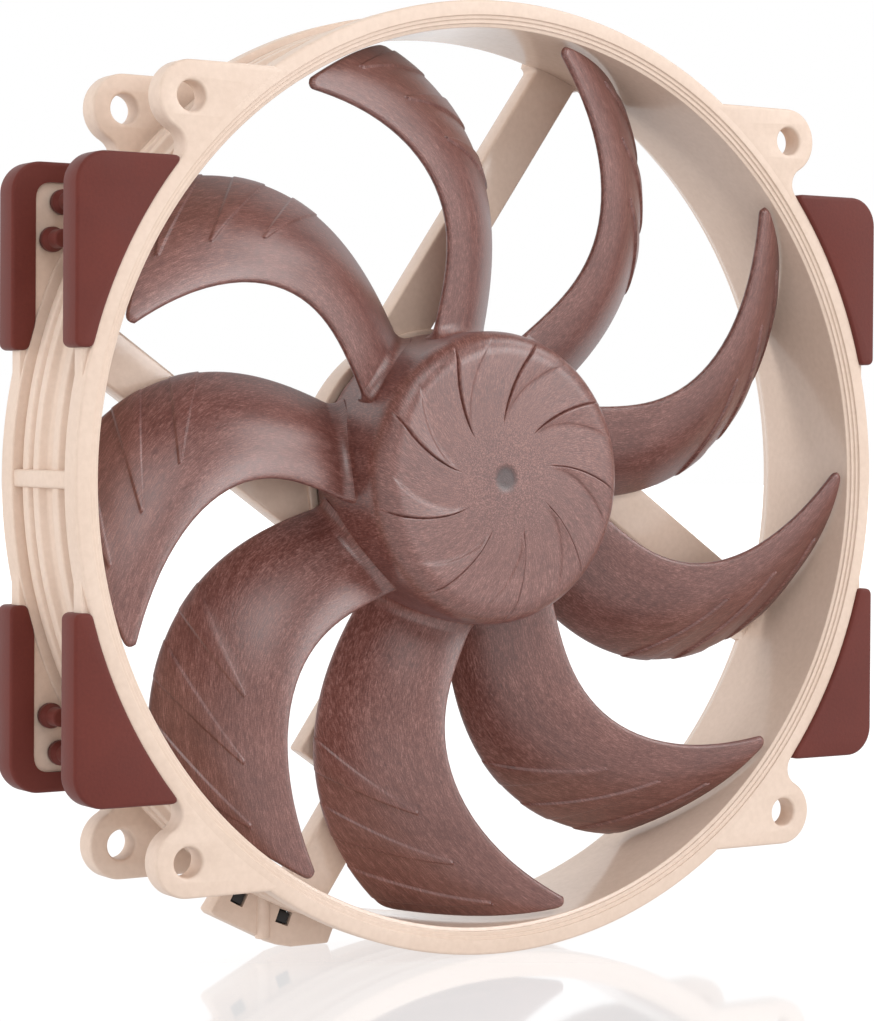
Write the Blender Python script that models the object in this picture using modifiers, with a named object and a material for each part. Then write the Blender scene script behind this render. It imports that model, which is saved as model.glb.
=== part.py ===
"""A 140 mm case fan: frame, nine-blade impeller, rubber corner pads, fluid bearing and outer-rotor motor.

Everything is modelled lying on its back, with the fan's axis along local Z and the air inlet facing up
(+Z), in millimetres. Two empties, one for the fixed parts and one for the rotor, scale that to metres and
stand the fan up on its rim, so that the inlet faces world -Y. The world origin is on the fan's axis, half
way through its depth.
"""

from math import acos, atan2, cos, hypot, pi, radians, sin

import bmesh
import bpy
from mathutils import Matrix, Vector

MM = 0.001

# Driving dimensions, in millimetres
WIDTH = 140.0  # across the rubber pads
HALF_DEPTH = 12.0  # the frame is 24 deep and the pads stand 0.5 proud at each face
PAD_PROUD = 0.5
FLANGE = 3.6
RING_R = 69.8
GROOVE_R = 67.7
RIB_R = 68.9
RIB_HEIGHTS = (3.6, -2.6, -6.0)
BORE_R = 66.1
INLET_FLARE = ((69.15, 13.0), (65.9, 10.9))  # (radius, height), each running 1 mm past its face
OUTLET_FLARE = ((BORE_R, -9.2), (67.5, -12.0), (68.0, -13.0))
RIB_FOOT = 1.2  # half heights of a rib where it leaves the groove and at its crest
RIB_CREST = 0.5
CROSS_BAR = (4.0, 2.5)  # radial and along the rim: the bar that joins the ribs on each side
CROSS_BAR_R = RING_R - 2.3
SCREW_PITCH = 105.0
SCREW_HOLE_R = 2.15
EAR_R = 5.0
EAR_NECK_R = 2.6
EAR_EDGE_X = 39.0  # where the ear's level edge leaves the ring
EAR_BURIED = ((47.0, 40.0), (36.0, 52.0))  # the outline's corners inside the ring
WING_X = 68.5  # flat side edge of the flange under the pads
WING_Z = 42.5
WING_CORNER = 3.0
WING_THICK = 2.6
WING_LEVEL = 10.0  # height of the wing's middle
GAP = 0.3  # between parts that touch on the real fan
PAST = 1.0  # how far a cutter runs beyond the surface it opens

BASE_R = 22.4
BASE_WALL = 1.5
BASE_TOP = -7.6
BASE_FLOOR = -10.2
COVER_R = 17.7
COVER_DEPTH = 0.7
STRUT_WIDTH = 7.5
STRUT_TOP = -8.2
STRUT_FOOT = (22.5, 104.0)  # radius and angle of the first strut's centre line at the motor
STRUT_HEAD = (66.5, 70.0)  # and at the ring
STRUT_INTO_BASE = 9.0  # how far the ends are buried
STRUT_INTO_RING = 1.3
CABLE_STRUT = 180.0  # turn of the strut that carries the leads
LEAD_COVER = (4.0, 31.7)  # start and end along that strut of its widening
LEAD_COVER_WIDTH = 12.7
LEAD_CHANNEL = (2.8, 2.6)  # width and height

HUB_R = 21.7
HUB_TOP = 11.5
HUB_CEILING = 9.6
HUB_SKIRT = -6.5
HUB_WALL = 1.6
BLADES = 9
TIP_R = 65.3
BLADE_THICK = 1.2

SHAFT_R = 1.5
SHAFT_GROOVE = (-7.15, -8.05)
BUSH_BORE_R = 1.58
TUBE_R = 5.5
TUBE_BORE_R = 4.5
TUBE_TOP = 3.0
CUP_SHEET = 0.9
CUP_HOLE_R = 2.6
CUP_RIM = -5.5

RING_STEPS = 64
MOTOR_STEPS = 40
SMALL_STEPS = 24
POLES = 6


# ---------------------------------------------------------------- scene helpers


def clear_scene():
    for obj in list(bpy.data.objects):
        bpy.data.objects.remove(obj, do_unlink=True)
    for collection in list(bpy.data.collections):
        bpy.data.collections.remove(collection)


def new_collection(name):
    collection = bpy.data.collections.new(name)
    bpy.context.scene.collection.children.link(collection)
    return collection


def new_material(name, colour, roughness, metallic=0.0):
    material = bpy.data.materials.new(name)
    material.use_nodes = True
    shader = material.node_tree.nodes["Principled BSDF"]
    shader.inputs["Base Color"].default_value = (*colour, 1.0)
    shader.inputs["Roughness"].default_value = roughness
    shader.inputs["Metallic"].default_value = metallic
    return material


def new_empty(name):
    """An axis system in millimetres whose Z is the fan's axis, towards the inlet."""
    empty = bpy.data.objects.new(name, None)
    empty.rotation_euler = (pi / 2, 0.0, 0.0)
    empty.scale = (MM, MM, MM)
    FAN.objects.link(empty)
    return empty


def place(obj, parent, material):
    """Makes an object one of the fan's parts."""
    FAN.objects.link(obj)
    obj.parent = parent
    obj.data.materials.clear()
    obj.data.materials.append(material)
    return obj


def tool(obj, collection):
    """Makes an object a cutter, or a shape to be joined to a part. It is never a part itself."""
    collection.objects.link(obj)
    obj.parent = HOUSING
    obj.hide_render = True
    obj.display_type = "WIRE"
    return obj


def boolean(obj, operation, other):
    modifier = obj.modifiers.new(operation.title(), "BOOLEAN")
    modifier.operation = operation
    modifier.solver = "EXACT"
    if isinstance(other, bpy.types.Collection):
        modifier.operand_type = "COLLECTION"
        modifier.collection = other
    else:
        modifier.object = other


def tool_collection(name):
    collection = bpy.data.collections.new(name)
    TOOLS.children.link(collection)
    return collection


# ---------------------------------------------------------------- shapes


def polar(radius, degrees):
    return (radius * cos(radians(degrees)), radius * sin(radians(degrees)))


def arc(centre, radius, start, end, steps):
    """Points along an arc, angles in degrees, both ends included."""
    points = []
    for i in range(steps + 1):
        x, y = polar(radius, start + (end - start) * i / steps)
        points.append((centre[0] + x, centre[1] + y))
    return points


def rounded_rectangle(width, height, radius, steps=3):
    points = []
    for corner, (sx, sy) in enumerate(((1, 1), (-1, 1), (-1, -1), (1, -1))):
        centre = (sx * (width / 2 - radius), sy * (height / 2 - radius))
        points += arc(centre, radius, 90 * corner, 90 * corner + 90, steps)
    return points


def mesh_object(name, work):
    mesh = bpy.data.meshes.new(name)
    work.to_mesh(mesh)
    work.free()
    return bpy.data.objects.new(name, mesh)


def turned(name, profile, steps=SMALL_STEPS):
    """A solid of revolution about Z. The profile of (radius, z) runs down its outer side. It is closed
    when it doesn't start on the axis."""
    mesh = bpy.data.meshes.new(name)
    edges = [(i, i + 1) for i in range(len(profile) - 1)]
    if profile[0][0] > 0:
        edges.append((len(profile) - 1, 0))
    mesh.from_pydata([(radius, 0.0, z) for radius, z in profile], edges, [])
    obj = bpy.data.objects.new(name, mesh)
    screw = obj.modifiers.new("Turn", "SCREW")
    screw.axis = "Z"
    screw.steps = screw.render_steps = steps
    screw.use_merge_vertices = True
    screw.merge_threshold = 1e-5
    screw.use_smooth_shade = True
    return obj


def washer(name, inner, outer, low, high, steps=SMALL_STEPS):
    return turned(name, [(inner, high), (outer, high), (outer, low), (inner, low)], steps)


def disc(name, radius, low, high, steps=SMALL_STEPS):
    return turned(name, [(0, high), (radius, high), (radius, low), (0, low)], steps)


def plate(name, outlines, low, high):
    """Flat outlines, the first one outside and the others holes, extruded from low to high."""
    curve = bpy.data.curves.new(name, "CURVE")
    curve.dimensions = "2D"
    curve.fill_mode = "BOTH"
    curve.extrude = (high - low) / 2
    for outline in outlines:
        spline = curve.splines.new("POLY")
        spline.points.add(len(outline) - 1)
        for point, (x, y) in zip(spline.points, outline):
            point.co = (x, y, 0.0, 1.0)
        spline.use_cyclic_u = True
    drawn = bpy.data.objects.new(name + "_outline", curve)
    bpy.context.scene.collection.objects.link(drawn)
    mesh = bpy.data.meshes.new_from_object(drawn.evaluated_get(bpy.context.evaluated_depsgraph_get()))
    bpy.data.objects.remove(drawn)
    bpy.data.curves.remove(curve)
    work = bmesh.new()
    work.from_mesh(mesh)
    bpy.data.meshes.remove(mesh)
    bmesh.ops.remove_doubles(work, verts=work.verts, dist=1e-4)
    bmesh.ops.translate(work, verts=work.verts, vec=(0, 0, (low + high) / 2))
    bmesh.ops.recalc_face_normals(work, faces=work.faces)
    return mesh_object(name, work)


def block(name, size, centre, turn=0.0):
    """A box of the given size, turned about Z by an angle in degrees."""
    work = bmesh.new()
    bmesh.ops.create_cube(work, size=1.0)
    bmesh.ops.scale(work, vec=size, verts=work.verts)
    matrix = Matrix.Translation(centre) @ Matrix.Rotation(radians(turn), 4, "Z")
    bmesh.ops.transform(work, matrix=matrix, verts=work.verts)
    return mesh_object(name, work)


def rod(name, radius, low, high, centre, segments):
    """A cylinder along Z."""
    work = bmesh.new()
    bmesh.ops.create_cone(
        work, cap_ends=True, segments=segments, radius1=radius, radius2=radius, depth=high - low
    )
    bmesh.ops.translate(work, verts=work.verts, vec=(*centre, (low + high) / 2))
    return mesh_object(name, work)


# ---------------------------------------------------------------- frame


def ear_outline():
    """One screw ear, upper right: a round end, a level outer edge that runs into the ring, and on the
    side a hollow of radius EAR_NECK_R that touches both the round end and the ring."""
    hole = SCREW_PITCH / 2
    reach, to_ear, to_ring = hypot(hole, hole), EAR_R + EAR_NECK_R, RING_R + EAR_NECK_R
    spread = acos((reach**2 + to_ring**2 - to_ear**2) / (2 * reach * to_ring))
    neck = (to_ring * cos(pi / 4 - spread), to_ring * sin(pi / 4 - spread))
    to_neck = atan2(neck[1] - hole, neck[0] - hole) * 180 / pi
    neck_end = 180 + atan2(neck[1], neck[0]) * 180 / pi
    outline = [(EAR_EDGE_X, hole + EAR_R)]
    outline += arc((hole, hole), EAR_R, 90, to_neck, 7)
    outline += arc(neck, EAR_NECK_R, to_neck + 180, neck_end, 3)
    return outline + list(EAR_BURIED)


def mirrored(outline, sx, sy):
    points = [(sx * x, sy * y) for x, y in outline]
    return points if sx * sy > 0 else points[::-1]


QUADRANTS = ((1, 1), (-1, 1), (-1, -1), (1, -1))


def strut_frame(turn):
    """Foot of a strut's centre line, its direction in degrees and its length."""
    foot = Vector(polar(STRUT_FOOT[0], STRUT_FOOT[1] + turn))
    head = Vector(polar(STRUT_HEAD[0], STRUT_HEAD[1] + turn))
    along = head - foot
    return foot, atan2(along.y, along.x) * 180 / pi, along.length


def along_strut(turn, distance, offset=0.0):
    foot, direction, _ = strut_frame(turn)
    forward = Vector(polar(1.0, direction))
    return foot + forward * distance + Vector((-forward.y, forward.x)) * offset


# The cable outlet is a tab of the rear flange, lower left seen from the inlet and flat at the bottom. It
# has a pocket at the back for the leads' rubber gland, and two square windows that the gland shows in.
OUTLET_TAB = (
    (-33.5, -56.0), (-36.9, -61.8), (-38.0, -63.3), (-37.4, -64.0),
    (-27.2, -69.1), (-24.5, -69.7), (-18.2, -69.7), (-16.6, -66.0),
)
OUTLET_ANGLES = (241.6, 248.4)
OUTLET_MIDDLE = sum(OUTLET_ANGLES) / 2
OUTLET_R = 70.1
OUTLET_WINDOW = (2.1, 2.3)  # radial and tangential
POCKET = (3.7, 11.5)
POCKET_TOP = -10.0
PILLAR_R = 1.1
PILLAR_X = -29.3
PILLAR_ENDS = (-68.0, -59.4)


def frame_rims(tools):
    """What stands out from the ring: ears, wing plates, outlet tab and the ribs' cross bars."""
    for side in (1, -1):
        faces = sorted((side * HALF_DEPTH, side * (HALF_DEPTH - FLANGE)))
        for sx, sy in QUADRANTS:
            tool(plate("ear", [mirrored(ear_outline(), sx, sy)], *faces), tools)
        wing = rounded_rectangle(2 * WING_X, 2 * WING_Z, WING_CORNER)
        middle = side * WING_LEVEL
        tool(plate("wing", [wing], middle - WING_THICK / 2, middle + WING_THICK / 2), tools)
        bar_depth = 2 * (HALF_DEPTH - FLANGE) + PAST
        tool(block("cross_bar", (*CROSS_BAR, bar_depth), (side * CROSS_BAR_R, 0, 0)), tools)
    tool(plate("outlet_tab", [OUTLET_TAB], -HALF_DEPTH, FLANGE - HALF_DEPTH), tools)
    pillar = rod("outlet_pillar", PILLAR_R, -PILLAR_ENDS[1], -PILLAR_ENDS[0], (0, 0), 12)
    tool(pillar, tools)
    pillar.rotation_euler.x = pi / 2
    pillar.location = (PILLAR_X, 0, FLANGE - HALF_DEPTH - 0.2)


def motor_mount(tools):
    """The round motor base, its bearing tube and the four struts, which cross the duct behind the
    impeller. The strut that carries the leads is wider near the motor."""
    tool(disc("motor_base", BASE_R, -HALF_DEPTH, BASE_TOP, MOTOR_STEPS), tools)
    tool(disc("bearing_tube", TUBE_R, -HALF_DEPTH + 1.0, TUBE_TOP), tools)
    height = STRUT_TOP + HALF_DEPTH
    middle = (STRUT_TOP - HALF_DEPTH) / 2
    for turn in (0, 90, 180, 270):
        _, direction, length = strut_frame(turn)
        centre = along_strut(turn, (length + STRUT_INTO_RING - STRUT_INTO_BASE) / 2)
        size = (length + STRUT_INTO_RING + STRUT_INTO_BASE, STRUT_WIDTH, height)
        tool(block("strut", size, (*centre, middle), direction), tools)
    _, direction, _ = strut_frame(CABLE_STRUT)
    start, end = LEAD_COVER
    centre = along_strut(CABLE_STRUT, (start + end) / 2, -LEAD_COVER_WIDTH / 2)
    size = (end - start, LEAD_COVER_WIDTH, height - 0.4)
    tool(block("lead_cover", size, (*centre, middle - 0.2), direction), tools)


def frame_cutters(tools):
    """The motor's cavity, the cover's recess, the bearing bore, holes for screws and pegs, and the
    leads' way from the motor through the rear of one strut to the outlet."""
    below, above = -HALF_DEPTH - PAST, HALF_DEPTH + PAST
    tool(washer("motor_cavity", TUBE_R, BASE_R - BASE_WALL, BASE_FLOOR, 0.0, MOTOR_STEPS), tools)
    tool(disc("cover_recess", COVER_R + GAP, below, COVER_DEPTH - HALF_DEPTH, MOTOR_STEPS), tools)
    tool(disc("bearing_bore", TUBE_BORE_R, below, TUBE_TOP + PAST), tools)
    hole = SCREW_PITCH / 2
    for sx, sy in QUADRANTS:
        tool(rod("screw_hole", SCREW_HOLE_R, below, above, (sx * hole, sy * hole), 16), tools)
        for x, y in PEGS:
            tool(rod("peg_hole", PEG_HOLE_R, below, above, (sx * x, sy * y), 8), tools)
    _, direction, length = strut_frame(CABLE_STRUT)
    start = along_strut(CABLE_STRUT, -3.0)
    end = along_strut(CABLE_STRUT, length + 3.0)
    centre = (start + end) / 2
    size = ((end - start).length, *LEAD_CHANNEL)
    tool(block("lead_channel", size, (*centre, -HALF_DEPTH + 0.3), direction), tools)
    entry = along_strut(CABLE_STRUT, -0.5)
    entry_size = (5.0, LEAD_CHANNEL[0], 4.0)
    tool(block("lead_entry", entry_size, (*entry, BASE_FLOOR - 0.5), direction), tools)
    depth = POCKET_TOP - below
    centre = (*polar(OUTLET_R, OUTLET_MIDDLE), POCKET_TOP - depth / 2)
    tool(block("outlet_pocket", (*POCKET, depth), centre, OUTLET_MIDDLE), tools)
    for angle in OUTLET_ANGLES:
        window = (*OUTLET_WINDOW, FLANGE + PAST)
        tool(block("outlet_window", window, (*polar(OUTLET_R, angle), -9.5), angle), tools)


def build_frame():
    inner = HALF_DEPTH - FLANGE
    profile = [(0, HALF_DEPTH), (RING_R, HALF_DEPTH), (RING_R, inner), (GROOVE_R, inner)]
    for height in RIB_HEIGHTS:
        profile += [(GROOVE_R, height + RIB_FOOT), (RIB_R, height + RIB_CREST)]
        profile += [(RIB_R, height - RIB_CREST), (GROOVE_R, height - RIB_FOOT)]
    profile += [(GROOVE_R, -inner), (RING_R, -inner), (RING_R, -HALF_DEPTH), (0, -HALF_DEPTH)]
    frame = place(turned("frame", profile, RING_STEPS), HOUSING, BEIGE)

    rims = tool_collection("frame_rims")
    frame_rims(rims)
    boolean(frame, "UNION", rims)
    bore = [(0, HALF_DEPTH + PAST), *INLET_FLARE, *OUTLET_FLARE, (0, -HALF_DEPTH - PAST)]
    boolean(frame, "DIFFERENCE", tool(turned("duct_bore", bore, RING_STEPS), TOOLS))
    mount = tool_collection("motor_mount")
    motor_mount(mount)
    boolean(frame, "UNION", mount)
    cutters = tool_collection("frame_cutters")
    frame_cutters(cutters)
    boolean(frame, "DIFFERENCE", cutters)


# ---------------------------------------------------------------- rubber pads

PEGS = ((64.0, 33.4), (62.4, 38.7))
PEG_HOLE_R = 1.45
PEG_R = 1.15
PEG_BARB_R = 1.8
PEG_TAIL_R = 1.3
PEG_END = 4.0
PAD_TOP = 44.0
PAD_END = 17.8
PAD_CORNER = 4.5
PAD_END_CORNER = 1.0
PAD_DEPTH = 4.5
PAD_ARC_R = RING_R + GAP
PAD_FIT = 0.2  # around the wing that the pad wraps
PAD_LIP = (66.4, 41.4)  # inner limits, to the side and up, of the lip that grips the wing


def pad_outline():
    """Upper right pad: straight outside and on top, and inside it follows the ring."""
    half, corner, small = WIDTH / 2, PAD_CORNER, PAD_END_CORNER
    low = atan2(PAD_END, (PAD_ARC_R**2 - PAD_END**2) ** 0.5) * 180 / pi
    high = atan2(PAD_TOP, (PAD_ARC_R**2 - PAD_TOP**2) ** 0.5) * 180 / pi
    outline = arc((half - small, PAD_END + small), small, -90, 0, 2)
    outline += arc((half - corner, PAD_TOP - corner), corner, 0, 90, 4)
    outline += arc((0, 0), PAD_ARC_R, high + 0.3, low + 0.5, 4)
    return outline


def build_pads():
    """One pad is cut and joined, and its mesh is shared by all eight, mirrored into place. Each wraps
    the outer edge of its flange and is held by two pegs pushed through it."""
    top = HALF_DEPTH + PAD_PROUD
    pad = plate("pad", [pad_outline()], top - PAD_DEPTH, top)
    bpy.context.scene.collection.objects.link(pad)
    slot_low = WING_LEVEL - WING_THICK / 2 - PAD_FIT
    slot_high = WING_LEVEL + WING_THICK / 2 + PAD_FIT
    slot_edge = rounded_rectangle(2 * (WING_X + PAD_FIT), 2 * (WING_Z + PAD_FIT), WING_CORNER + PAD_FIT)
    lip_edge = rounded_rectangle(2 * PAD_LIP[0], 2 * PAD_LIP[1], 2.0)
    helpers = tool_collection("pad_tools")
    boolean(pad, "DIFFERENCE", tool(plate("pad_slot", [slot_edge], slot_low, slot_high), helpers))
    boolean(pad, "DIFFERENCE", tool(plate("pad_lip", [lip_edge], 0, WING_LEVEL), helpers))
    for x, y in PEGS:
        profile = [(0, slot_high + 0.4), (PEG_R, slot_high + 0.4), (PEG_R, slot_low - 0.1)]
        profile += [(PEG_BARB_R, slot_low - 0.2), (PEG_BARB_R, slot_low - 1.2), (PEG_TAIL_R, slot_low - 2.0)]
        profile += [(PEG_TAIL_R, PEG_END), (0, PEG_END)]
        peg = tool(turned("peg", profile, 8), helpers)
        peg.location = (x, y, 0)
        boolean(pad, "UNION", peg)
    pad.parent = HOUSING
    graph = bpy.context.evaluated_depsgraph_get()
    mesh = bpy.data.meshes.new_from_object(pad.evaluated_get(graph))
    mesh.name = "corner_pad"
    bpy.data.objects.remove(pad)
    for end, sz in (("front", 1), ("rear", -1)):
        for level, sy in (("upper", 1), ("lower", -1)):
            for side, sx in (("right", 1), ("left", -1)):
                copy = bpy.data.objects.new(f"pad_{end}_{level}_{side}", mesh)
                copy.scale = (sx, sy, sz)
                place(copy, HOUSING, RUBBER)


def build_cable_gland():
    """The leads' rubber outlet: it sits in the pocket of the outlet tab, with two square noses that
    fill the tab's windows."""
    low, high = 0.1 - HALF_DEPTH, POCKET_TOP - GAP
    size = (POCKET[0] - 2 * GAP, POCKET[1] - 2 * GAP, high - low)
    centre = (*polar(OUTLET_R, OUTLET_MIDDLE), (low + high) / 2)
    gland = block("cable_gland", size, centre, OUTLET_MIDDLE)
    noses = tool_collection("gland_noses")
    nose = (OUTLET_WINDOW[0] - 0.4, OUTLET_WINDOW[1] - 0.4, 2.4)
    for angle in OUTLET_ANGLES:
        tool(block("gland_nose", nose, (*polar(OUTLET_R, angle), -9.8), angle), noses)
    place(gland, HOUSING, BLACK_RUBBER)
    boolean(gland, "UNION", noses)


# ---------------------------------------------------------------- impeller

# Each blade is a curved sheet. At a fraction s of the way from hub to tip, its leading edge is at
# LEAD_ANGLE(s) degrees and its trailing edge lies WRAP(s) degrees on, and the heights of the two edges
# above the middle of the depth are LEAD_HEIGHT(s) and TRAIL_HEIGHT(s). All four are polynomials in s.
LEAD_ANGLE = (189.8, -64.3, 118.8, -42.1)
WRAP = (-37.8, 71.7, -107.5, 52.0)
LEAD_HEIGHT = (2.6, 6.3, 1.5)
TRAIL_HEIGHT = (-6.3, -1.6, 2.8)
CAMBER = 2.6


def series(coefficients, s):
    return sum(value * s**power for power, value in enumerate(coefficients))


def blade_point(s, t):
    """A point of the sheet: s from the hub (0) to the tip (1), t from the leading to the trailing edge."""
    radius = HUB_R + (TIP_R - HUB_R) * s
    angle = series(LEAD_ANGLE, s) + series(WRAP, s) * t
    height = series(LEAD_HEIGHT, s) * (1 - t) + series(TRAIL_HEIGHT, s) * t + CAMBER * 4 * t * (1 - t)
    return Vector((*polar(radius, angle), height))


def build_impeller():
    inside, top = HUB_R - HUB_WALL, HUB_TOP
    profile = [(0, top), (18.2, top - 0.3), (20.3, top - 1.0), (21.3, top - 2.2), (HUB_R, top - 4.0)]
    profile += [(HUB_R, HUB_SKIRT), (inside, HUB_SKIRT)]
    profile += [(inside, HUB_CEILING), (0, HUB_CEILING)]
    impeller = place(turned("impeller", profile, 45), ROTOR, BROWN)
    blades = tool_collection("blades")
    spans, chords = 10, 4
    root = -0.02
    for i in range(BLADES):
        work = bmesh.new()
        bmesh.ops.create_grid(work, x_segments=spans, y_segments=chords, size=0.5)
        for vertex in work.verts:
            s = root + (1 - root) * (vertex.co.x + 0.5)
            vertex.co = blade_point(s, vertex.co.y + 0.5)
        blade = tool(mesh_object("blade", work), blades)
        blade.parent = ROTOR
        blade.rotation_euler.z = 2 * pi * i / BLADES
        solid = blade.modifiers.new("Thickness", "SOLIDIFY")
        solid.thickness = BLADE_THICK
        solid.offset = 0.0
    boolean(impeller, "UNION", blades)


# ---------------------------------------------------------------- rotor


def build_rotor():
    outer, ceiling = HUB_R - HUB_WALL - GAP, HUB_CEILING - GAP
    inner, under = outer - CUP_SHEET, ceiling - CUP_SHEET
    profile = [(CUP_HOLE_R, ceiling), (outer - 0.8, ceiling), (outer, ceiling - 0.8), (outer, CUP_RIM)]
    profile += [(inner, CUP_RIM), (inner, under), (CUP_HOLE_R, under)]
    place(turned("rotor_cup", profile, MOTOR_STEPS), ROTOR, STEEL)
    magnet = inner - GAP
    place(washer("rotor_magnet", magnet - 1.7, magnet, -5.0, 6.0, MOTOR_STEPS), ROTOR, MAGNET)
    bore, neck, flange = SHAFT_R + GAP, CUP_HOLE_R - GAP, 4.6
    profile = [(bore, ceiling), (neck, ceiling), (neck, under - GAP)]
    profile += [(flange, under - GAP), (flange, under - 1.3), (bore, under - 1.3)]
    place(turned("shaft_boss", profile), ROTOR, BRASS)
    upper, lower = SHAFT_GROOVE
    profile = [(0, 9.1), (SHAFT_R - 0.2, 9.1), (SHAFT_R, 8.9), (SHAFT_R, upper)]
    profile += [(0.95, upper), (0.95, lower), (SHAFT_R, lower), (SHAFT_R, -8.6)]
    profile += [(1.1, -8.9), (0.5, -9.05), (0, -9.1)]
    place(turned("shaft", profile, 16), ROTOR, STEEL)


# ---------------------------------------------------------------- bearing


def build_bearing():
    shell, bush = TUBE_BORE_R - GAP, 3.5
    place(washer("bearing_shell", bush, shell, -10.0, 5.7), HOUSING, BRASS)
    place(washer("bearing_bush", BUSH_BORE_R, bush - GAP, -6.9, 4.6), HOUSING, BRONZE)
    place(washer("oil_seal", 1.8, bush - GAP, 4.9, 5.5), HOUSING, BLACK_RUBBER)
    place(washer("retaining_clip", 1.22, 2.7, -7.8, -7.4), HOUSING, NYLON)
    place(washer("stabiliser_magnet", 1.9, bush - GAP, -9.1, -8.2), HOUSING, MAGNET)
    place(disc("thrust_plate", bush - GAP, -9.9, -9.4), HOUSING, STEEL)
    place(disc("bearing_end_cap", shell, -11.1, -10.3), HOUSING, BRASS)


# ---------------------------------------------------------------- stator

CORE = (-3.5, 2.5)
CORE_BORE_R = TUBE_R + GAP
TOOTH = 4.0


def star_outline(yoke_r, tooth, shoe=None):
    """Six teeth on a round yoke. With shoe (inner radius, outer radius, half angle), each tooth ends in
    a pole shoe, and without it at 14.2."""
    points = []
    for pole in range(POLES):
        centre = 360 * pole / POLES
        foot = atan2(tooth / 2, yoke_r) * 180 / pi
        points.append(polar(hypot(yoke_r, tooth / 2), centre - foot))
        end_r = shoe[0] if shoe else 14.2
        neck = atan2(tooth / 2, end_r) * 180 / pi
        points.append(polar(hypot(end_r, tooth / 2), centre - neck))
        if shoe:
            inner, outer, half = shoe
            points.append(polar(inner + 0.4, centre - half))
            points += [polar(outer, centre + half * k / 3) for k in range(-3, 4)]
            points.append(polar(inner + 0.4, centre + half))
        points.append(polar(hypot(end_r, tooth / 2), centre + neck))
        points.append(polar(hypot(yoke_r, tooth / 2), centre + foot))
    return points


def build_stator():
    bore = arc((0, 0), CORE_BORE_R, 0, 345, 23)
    core = star_outline(8.0, TOOTH, (14.5, 16.2, 25.0))
    place(plate("stator_core", [core, bore], *CORE), HOUSING, LAMINATION)
    star = star_outline(8.3, TOOTH + 0.9)
    thick = 0.9
    low, high = CORE[0] - GAP, CORE[1] + GAP
    place(plate("upper_insulator", [star, bore], high, high + thick), HOUSING, NYLON)
    place(plate("lower_insulator", [star, bore], low - thick, low), HOUSING, NYLON)
    window = (TOOTH + 0.9 + 2 * GAP, high + thick - (low - thick) + 2 * GAP)
    winding = 1.6
    outer = rounded_rectangle(window[0] + 2 * winding, window[1] + 2 * winding, 1.4)
    inner = rounded_rectangle(*window, 0.4, 1)
    middle = (CORE[0] + CORE[1]) / 2
    for pole in range(POLES):
        coil = place(plate(f"coil_{pole + 1}", [outer, inner], 9.3, 13.7), HOUSING, COPPER)
        turn = Matrix.Rotation(2 * pi * pole / POLES, 4, "Z")
        on_tooth = Matrix(((0, 0, 1, 0), (1, 0, 0, 0), (0, 1, 0, middle), (0, 0, 0, 1)))
        coil.matrix_basis = turn @ on_tooth


def build_circuit():
    top, thick = -7.0, 1.0
    place(washer("circuit_board", CORE_BORE_R, 19.5, top - thick, top, MOTOR_STEPS), HOUSING, BOARD)
    under = top - thick - GAP
    place(block("driver_chip", (5.0, 4.0, 1.3), (-13.0, 6.0, under - 0.65)), HOUSING, CHIP)
    x, y = polar(17.3, 30.0)
    place(block("hall_sensor", (1.8, 3.0, 1.1), (x, y, top + GAP + 0.55), 30), HOUSING, CHIP)
    for i, angle in enumerate((-35.0, -80.0)):
        x, y = polar(13.5, angle)
        place(block(f"capacitor_{i + 1}", (3.2, 1.6, 1.2), (x, y, under - 0.6), angle), HOUSING, CERAMIC)


def build_hub_cover():
    top = COVER_DEPTH - GAP - HALF_DEPTH
    place(disc("hub_cover", COVER_R, -HALF_DEPTH, top, MOTOR_STEPS), HOUSING, COVER)


# ---------------------------------------------------------------- assembly

clear_scene()
FAN = new_collection("case_fan")
TOOLS = new_collection("cutters")
HOUSING = new_empty("housing")
ROTOR = new_empty("rotor")

BEIGE = new_material("beige_plastic", (0.80, 0.62, 0.50), 0.35)
BROWN = new_material("brown_plastic", (0.15, 0.06, 0.05), 0.40)
RUBBER = new_material("dark_red_rubber", (0.19, 0.055, 0.045), 0.75)
BLACK_RUBBER = new_material("black_rubber", (0.012, 0.012, 0.013), 0.80)
STEEL = new_material("steel", (0.56, 0.57, 0.58), 0.30, 1.0)
MAGNET = new_material("ferrite", (0.05, 0.05, 0.055), 0.60)
BRASS = new_material("brass", (0.78, 0.57, 0.25), 0.30, 1.0)
BRONZE = new_material("sintered_bronze", (0.42, 0.27, 0.14), 0.55, 1.0)
NYLON = new_material("white_nylon", (0.82, 0.80, 0.74), 0.50)
LAMINATION = new_material("lamination_steel", (0.32, 0.33, 0.35), 0.45, 1.0)
COPPER = new_material("copper_winding", (0.72, 0.28, 0.12), 0.35, 1.0)
BOARD = new_material("circuit_board", (0.02, 0.13, 0.05), 0.50)
CHIP = new_material("chip", (0.02, 0.02, 0.022), 0.50)
CERAMIC = new_material("capacitor", (0.45, 0.33, 0.20), 0.50)
COVER = new_material("cover", (0.62, 0.50, 0.42), 0.50)

build_frame()
build_pads()
build_cable_gland()
build_impeller()
build_rotor()
build_bearing()
build_stator()
build_circuit()
build_hub_cover()
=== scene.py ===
"""The looks of a 140 mm case fan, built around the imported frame.

Shapes are modelled in the fan's own system, in millimetres: it lies on its back, with its axis along Z and
the air inlet facing up. TO_WORLD stands it up on its rim and turns millimetres into metres.
"""

from math import acos, asin, atan2, cos, degrees, hypot, pi, radians, sin

import bmesh
import bpy
import numpy as np
from mathutils import Matrix, Vector


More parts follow.
